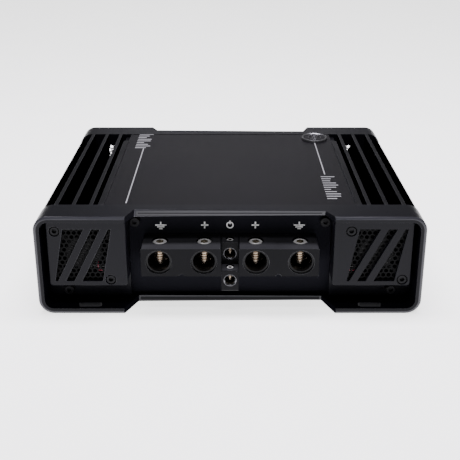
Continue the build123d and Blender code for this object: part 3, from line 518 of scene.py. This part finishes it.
def dress_case():
    end_cap("front_end_cap", cad_low.y)
    end_cap("rear_end_cap", cad_high.y)
    finned_body()
    softened("top_plate", ["plate_coat", "fin_edge_painted_highlight"], 0.2 * MM, 2)
    for name, mouth in (("power_block_left", 1.1), ("power_block_right", 1.1), ("remote_block", 0.4)):
        terminal_block(name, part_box(name)[0].y, mouth)
    terminal_block("speaker_block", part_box("speaker_block")[1].y, 0.5)
    for side in ("left", "right"):
        softened(f"fan_cover_{side}", ["cover_coat", "case_edge_painted_highlight"], 0.22 * MM, 2)
        softened(f"vent_cover_{side}", ["cover_coat", "case_edge_painted_highlight"], 0.22 * MM, 2)
    dress("case_coat", "bottom_plate")
    dress("panel_coat", "front_panel", "rear_panel")
    dress("mesh_paint", "fan_mesh_left", "fan_mesh_right", "vent_meshes")
    dress("black_oxide", "cover_screws", "end_cap_screws", "panel_screws", "bottom_screws")
    # Power terminals in nickel darkened as painted shade.
    dress("terminal_nickel_painted_shade", "power_terminals")
    dress("sleeve_nickel", "remote_sleeves", "speaker_sleeves")
    dress("nickel", "input_jacks")
    dress("fan_moulding", "fan_frame_left", "fan_frame_right", "fan_rotor_left", "fan_rotor_right")
    dress("knob_moulding", "gain_knob", "lowpass_knob", "boost_knob", "switch_slider")
    dress("zinc", "control_pots", "switch_body", "board_standoffs", "clamp_bars", "clamp_screws")
    dress("copper", "bus_bars", "transformer_winding", "choke_winding")
    dress("ferrite", "transformer_core", "choke_core")
    dress("solder_mask", "circuit_board")
    dress("can_sleeve", "filter_capacitors")
    dress("package_moulding", "power_transistors")
    dress("silicone", "insulating_pads")
    dress("lens_blue", "indicator_lens")


def badge():
    """Round badge: bright rim, dark field and plain bright rings."""
    low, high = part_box("badge")
    centre = Matrix.Translation(((low.x + high.x) / 2, (low.y + high.y) / 2, 0.0))
    radius = (high.x - low.x) / 2 / MM
    base, top = low.z / MM, high.z / MM
    rim = [
        (radius - 1.5, base), (radius, base), (radius, top - 0.5), (radius - 0.15, top - 0.15),
        (radius - 0.5, top), (radius - 0.9, top - 0.05), (radius - 1.5, top - 0.55),
    ]
    add_piece("badge_rim", shift(turned(rim, 72), centre), "silver_rim", "case", ("badge",))
    field = bmesh.new()
    bmesh.ops.create_cone(
        field, cap_ends=True, segments=72, radius1=(radius - 1.45) * MM, radius2=(radius - 1.45) * MM,
        depth=(top - 0.6 - base) * MM,
        matrix=centre @ Matrix.Translation((0, 0, (base + top - 0.6) / 2 * MM)),
    )
    add_piece("badge_field", field, "plate_coat", "case")
    face = top - 0.62
    for k, (outer, inner) in enumerate(((4.6, 4.2), (2.0, 1.4))):
        ring = [(inner, face), (outer, face), (outer, face + 0.25), (outer - 0.12, face + 0.32)]
        ring += [(inner + 0.12, face + 0.32), (inner, face + 0.25)]
        add_piece(f"badge_ring_{k + 1}", shift(turned(ring, 64), centre), "silver_rim", "case")


def plate_print():
    """Silver lines and rows of level ticks printed on the top plate."""
    low, high = PLATE_TOP - 0.02, PLATE_TOP + PRINT / MM
    bm = bmesh.new()
    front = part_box("front_end_cap")[0].y / MM
    bar(bm, (-59.35, front + 19.4, low), (-58.65, front + 112.8, high))
    bar(bm, (58.65, front + 64.0, low), (59.35, front + 124.0, high))
    for k in range(10):
        y = front + 113.5 + k * 3.6
        reach = 4.0 + 6.0 * abs(sin(0.9 * k + 0.6))
        bar(bm, (-65.0, y, low), (-65.0 + reach, y + 1.2, high))
    for k in range(11):
        y = front + 25.5 + k * 3.4
        reach = 3.5 + 5.5 * abs(sin(0.7 * k + 0.4))
        bar(bm, (56.0, y, low), (56.0 + reach, y + 1.1, high))
    add_piece("plate_print", bm, "print_silver", "case")


def terminal_marks():
    """Plain polarity signs above the power ports and a ring above the turn-on ports."""
    bm = bmesh.new()
    near, far = PANEL_FACE - PRINT / MM, PANEL_FACE + 0.02
    z = MARK_LINE
    for x in (-39.6, 39.6):
        bar(bm, (x - 0.35, near, z), (x + 0.35, far, z + 2.1))
        for k, half in enumerate((3.2, 2.1, 1.0)):
            bar(bm, (x - half, near, z - 0.36 - 1.15 * k), (x + half, far, z + 0.36 - 1.15 * k))
    for x in (-14.5, 14.5):
        bar(bm, (x - 2.1, near, z - 0.42), (x + 2.1, far, z + 0.42))
        bar(bm, (x - 0.42, near, z - 2.1), (x + 0.42, far, z + 2.1))
    add_piece("terminal_marks", bm, "print_white", "case")
    ring = turned([(1.45, 0), (2.1, 0), (2.1, 0.08), (1.45, 0.08)], 40)
    shift(ring, Matrix.Translation((0.0, far * MM, z * MM)) @ Matrix.Rotation(radians(90), 4, "X"))
    bar(ring, (-0.36, near, z + 0.6), (0.36, far, z + 2.7))
    add_piece("turn_on_mark", ring, "print_white", "case")


# ---- threads ----

SOCKET_DEPTH = 2.6


def threaded_screw(node, radius, pitch, point_radius, across_flats):
    """A grub screw with a true helical thread, a dog point and a six-sided socket."""
    low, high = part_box(node)
    centre = Matrix.Translation(((low.x + high.x) / 2, (low.y + high.y) / 2, 0.0))
    base, top = low.z / MM, high.z / MM
    root = radius - 0.62 * pitch
    hexagon = across_flats / sqrt(3)
    bm = bmesh.new()
    bmesh.ops.create_circle(bm, cap_ends=True, segments=48, radius=point_radius * MM)
    bmesh.ops.translate(bm, verts=bm.verts, vec=(0, 0, base * MM))
    chamfer = 0.11 * radius
    rim_line = top - chamfer
    crown = radius - 0.1
    outline = [(point_radius, base + 1.0), (root, base + 1.4), (root, top - 1.2), (crown, top - 1.0)]
    outline += [(crown, rim_line), (crown - chamfer, top)]
    for reach, z in outline:
        for v in carried_on(bm, open_rim(bm)):
            scale = reach * MM / max(v.co.xy.length, 1e-9)
            v.co = (v.co.x * scale, v.co.y * scale, z * MM)
    for v in carried_on(bm, open_rim(bm)):
        angle = atan2(v.co.y, v.co.x)
        sector = (angle + pi / 6) % (pi / 3) - pi / 6
        reach = hexagon * cos(pi / 6) / cos(sector)
        v.co = (reach * cos(angle) * MM, reach * sin(angle) * MM, top * MM)
    for v in carried_on(bm, open_rim(bm)):
        v.co.z = (top - SOCKET_DEPTH) * MM
    bmesh.ops.holes_fill(bm, edges=open_rim(bm), sides=0)
    bmesh.ops.recalc_face_normals(bm, faces=bm.faces)
    ridge = bmesh.new()
    turns = (top - 1.1 - base - 1.2 - pitch) / pitch
    start = base + 1.2
    section = [
        (root - 0.08, start), (root - 0.08, start + 0.92 * pitch),
        (radius, start + 0.54 * pitch), (radius, start + 0.42 * pitch),
    ]
    verts = [ridge.verts.new((r * MM, 0.0, z * MM)) for r, z in section]
    face = ridge.faces.new(verts)
    steps = int(28 * turns)
    bmesh.ops.spin(
        ridge, geom=verts + list(face.edges) + [face], cent=(0, 0, 0), axis=(0, 0, 1),
        dvec=(0, 0, turns * pitch * MM / steps), angle=turns * 2 * pi, steps=steps, use_duplicate=False,
    )
    bmesh.ops.recalc_face_normals(ridge, faces=ridge.faces)
    joined(bm, ridge)
    # End faces take the second finish, a near-white painted highlight; socket faces take nickel.
    for face in bm.faces:
        middle = face.calc_center_median()
        on_top = face.normal.z > 0.3 and middle.z > (top - 0.4) * MM
        in_socket = middle.xy.length < hexagon * MM and middle.z > (top - SOCKET_DEPTH - 0.1) * MM
        face.material_index = 2 if in_socket and not on_top else int(on_top)
    shift(bm, centre)
    keep_piece(node + "_thread", bm, ["thread_brass", "screw_end_painted_highlight", "nickel"], node, (node,), 25.0)


def make_screws():
    for k in range(1, 5):
        threaded_screw(f"power_screw_{k}", 4.0, 1.5, 2.6, 4.0)
    for name in ("upper", "lower"):
        threaded_screw(f"remote_screw_{name}", 2.0, 0.7, 1.2, 2.0)
    for k in (1, 2):
        threaded_screw(f"speaker_screw_{k}", 2.5, 1.0, 1.5, 2.5)


# ---- fans and rear details ----


def fan_labels():
    """Plain foil disc on each fan's motor plate."""
    for side in ("left", "right"):
        low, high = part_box(f"fan_frame_{side}")
        centre = Vector(((low.x + high.x) / 2, low.y, (low.z + high.z) / 2))
        facing = Matrix.Translation(centre) @ Matrix.Rotation(radians(90), 4, "X")
        disc = turned([(0.0, 0.0), (9.6, 0.0), (9.6, 0.06), (9.4, 0.1), (0.0, 0.1)], 64)
        add_piece(f"fan_label_{side}", shift(disc, facing), "label_foil", "case")


def fan_wires():
    """The leads, each wire in its own colour."""
    bm = bmesh.new()
    bm.from_mesh(nodes["fan_leads"].data)
    bmesh.ops.remove_doubles(bm, verts=bm.verts, dist=JOIN)
    groups = []
    left = set(bm.faces)
    while left:
        stack = [left.pop()]
        group = [stack[0]]
        while stack:
            face = stack.pop()
            for edge in face.edges:
                for other in edge.link_faces:
                    if other in left:
                        left.remove(other)
                        stack.append(other)
                        group.append(other)
        groups.append(group)
    for side in (-1, 1):
        ours = [g for g in groups if side * g[0].calc_center_median().x > 0]
        ours.sort(key=lambda g: max(v.co.y for f in g for v in f.verts))
        for k, group in enumerate(ours):
            for face in group:
                face.material_index = min(k, 1)
    keep_piece("fan_wires", bm, ["wire_red", "wire_black"], "case", ("fan_leads",), 50.0)


def jack_inserts():
    """Coloured insulating rings in the mouths of the phono sockets."""
    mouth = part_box("input_jacks")[1].y - 0.02 * MM
    turn = Matrix.Rotation(radians(-90), 4, "X")
    ring = [(1.75, 0.0), (3.5, 0.0), (3.5, 0.25), (3.3, 0.35), (1.9, 0.35), (1.75, 0.25)]
    for x, colour in ((-6.0, "insert_white"), (8.0, "insert_red")):
        facing = Matrix.Translation((x * MM, mouth, 40.0 * MM)) @ turn
        add_piece(f"jack_{colour}", shift(turned(ring, 40), facing), colour, "case")


def rear_marks():
    """Tick marks round the rear knobs and plain signs by the other rear parts."""
    bm = bmesh.new()
    near, far = REAR_FACE - 0.02, REAR_FACE + PRINT / MM
    for node in ("gain_knob", "lowpass_knob", "boost_knob"):
        low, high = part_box(node)
        x, z = (low.x + high.x) / 2 / MM, (low.z + high.z) / 2 / MM
        for k in range(11):
            angle = radians(-140 + 28 * k)
            tick = bmesh.new()
            bar(tick, (-0.18, near, 5.4), (0.18, far, 6.6 if k % 5 else 7.0))
            turn = Matrix.Translation((x * MM, 0, z * MM)) @ Matrix.Rotation(angle, 4, "Y")
            joined(bm, shift(tick, turn))
    for x, cross in ((-43.0, True), (-25.0, False)):
        bar(bm, (x - 1.7, near, 33.65), (x + 1.7, far, 34.35))
        if cross:
            bar(bm, (x - 0.35, near, 32.3), (x + 0.35, far, 35.7))
    add_piece("rear_marks", bm, "print_white", "case")


make_camera()
make_stage()
dress_case()
badge()
plate_print()
terminal_marks()
make_screws()
fan_labels()
fan_wires()
jack_inserts()
rear_marks()
